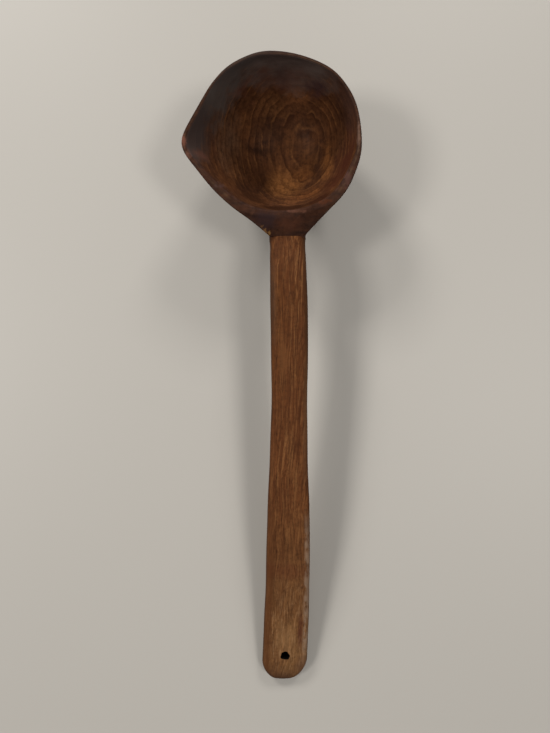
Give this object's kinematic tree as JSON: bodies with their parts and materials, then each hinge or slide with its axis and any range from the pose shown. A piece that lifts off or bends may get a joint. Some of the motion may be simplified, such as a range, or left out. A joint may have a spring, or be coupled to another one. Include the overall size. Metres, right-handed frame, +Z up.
{
  "type": "soup ladle",
  "caption": "Carved wooden soup ladle: round deep bowl with a pouring lip on its left, and a long arched handle, narrow at the neck, with a hanging hole at its round end.",
  "frame": {"origin": "middle of the flat under the bowl, on the surface that the ladle rests on", "axes": "+Z up, +Y from the handle's end to the bowl, so the pouring lip points to -X"},
  "size_m": [0.0864, 0.323, 0.0513],
  "materials": {
    "oiled_bowl_wood": "dark reddish-brown hardwood, oiled, satin to glossy",
    "worn_handle_wood": "mid-brown hardwood with straight grain, worn, satin to matt"
  },
  "bodies": {
    "root": {"bowl": "oiled_bowl_wood", "handle": "worn_handle_wood"}
  },
  "joints": []
}
